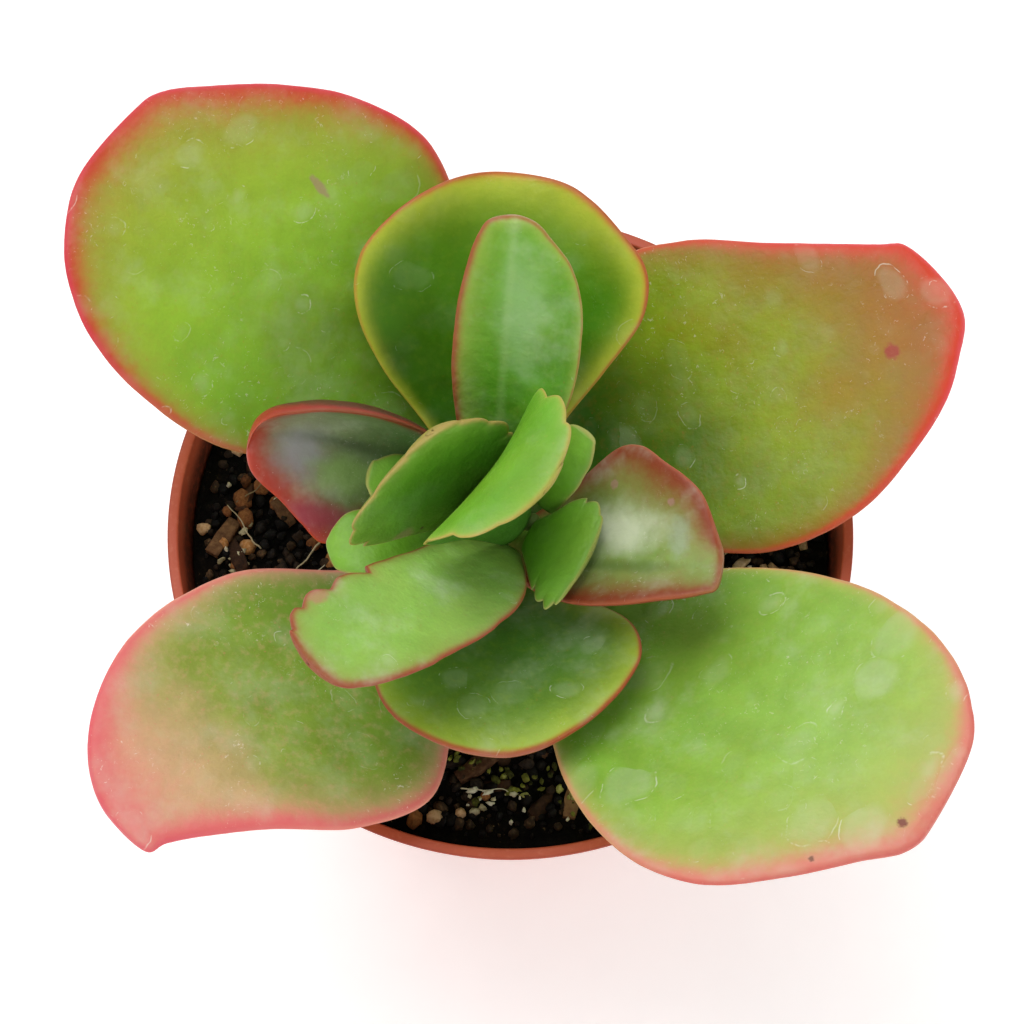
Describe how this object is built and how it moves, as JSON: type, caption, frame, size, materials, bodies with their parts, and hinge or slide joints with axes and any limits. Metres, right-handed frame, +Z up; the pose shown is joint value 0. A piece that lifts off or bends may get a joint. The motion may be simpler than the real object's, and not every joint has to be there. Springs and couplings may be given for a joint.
{
  "type": "potted succulent plant",
  "caption": "Potted paddle-leaf kalanchoe: a flared round nursery pot filled with peat, with one short stem carrying broad fleshy leaves in crossed pairs round a heart of small upright leaves.",
  "frame": {"origin": "middle of the pot's underside, on the surface it stands on", "axes": "+Z up along the pot's axis, -Y towards the front, +X to the right as seen from the front"},
  "size_m": [0.1315, 0.1184, 0.1373],
  "materials": {
    "pot": "matte",
    "soil": "matte",
    "stem": "satin",
    "leaf_back_right": "satin",
    "leaf_front_left": "satin",
    "leaf_back_left": "satin",
    "leaf_front_right": "satin",
    "leaf_back_round": "satin",
    "leaf_front_round": "satin",
    "leaf_left_folded": "satin",
    "leaf_right_folded": "satin",
    "leaf_back_tongue": "satin",
    "leaf_front_tongue": "satin",
    "leaf_heart_left": "satin",
    "leaf_heart_right": "satin",
    "sprout_right_front": "satin",
    "sprout_right_back": "satin",
    "sprout_left_back": "satin",
    "sprout_left_front": "satin",
    "bud_back": "satin",
    "bud_front": "satin"
  },
  "bodies": {
    "root": {"pot": "pot", "soil": "soil", "stem": "stem", "leaf_back_right": "leaf_back_right", "leaf_front_left": "leaf_front_left", "leaf_back_left": "leaf_back_left", "leaf_front_right": "leaf_front_right", "leaf_back_round": "leaf_back_round", "leaf_front_round": "leaf_front_round", "leaf_left_folded": "leaf_left_folded", "leaf_right_folded": "leaf_right_folded", "leaf_back_tongue": "leaf_back_tongue", "leaf_front_tongue": "leaf_front_tongue", "leaf_heart_left": "leaf_heart_left", "leaf_heart_right": "leaf_heart_right", "sprout_right_front": "sprout_right_front", "sprout_right_back": "sprout_right_back", "sprout_left_back": "sprout_left_back", "sprout_left_front": "sprout_left_front", "bud_back": "bud_back", "bud_front": "bud_front"}
  },
  "joints": []
}
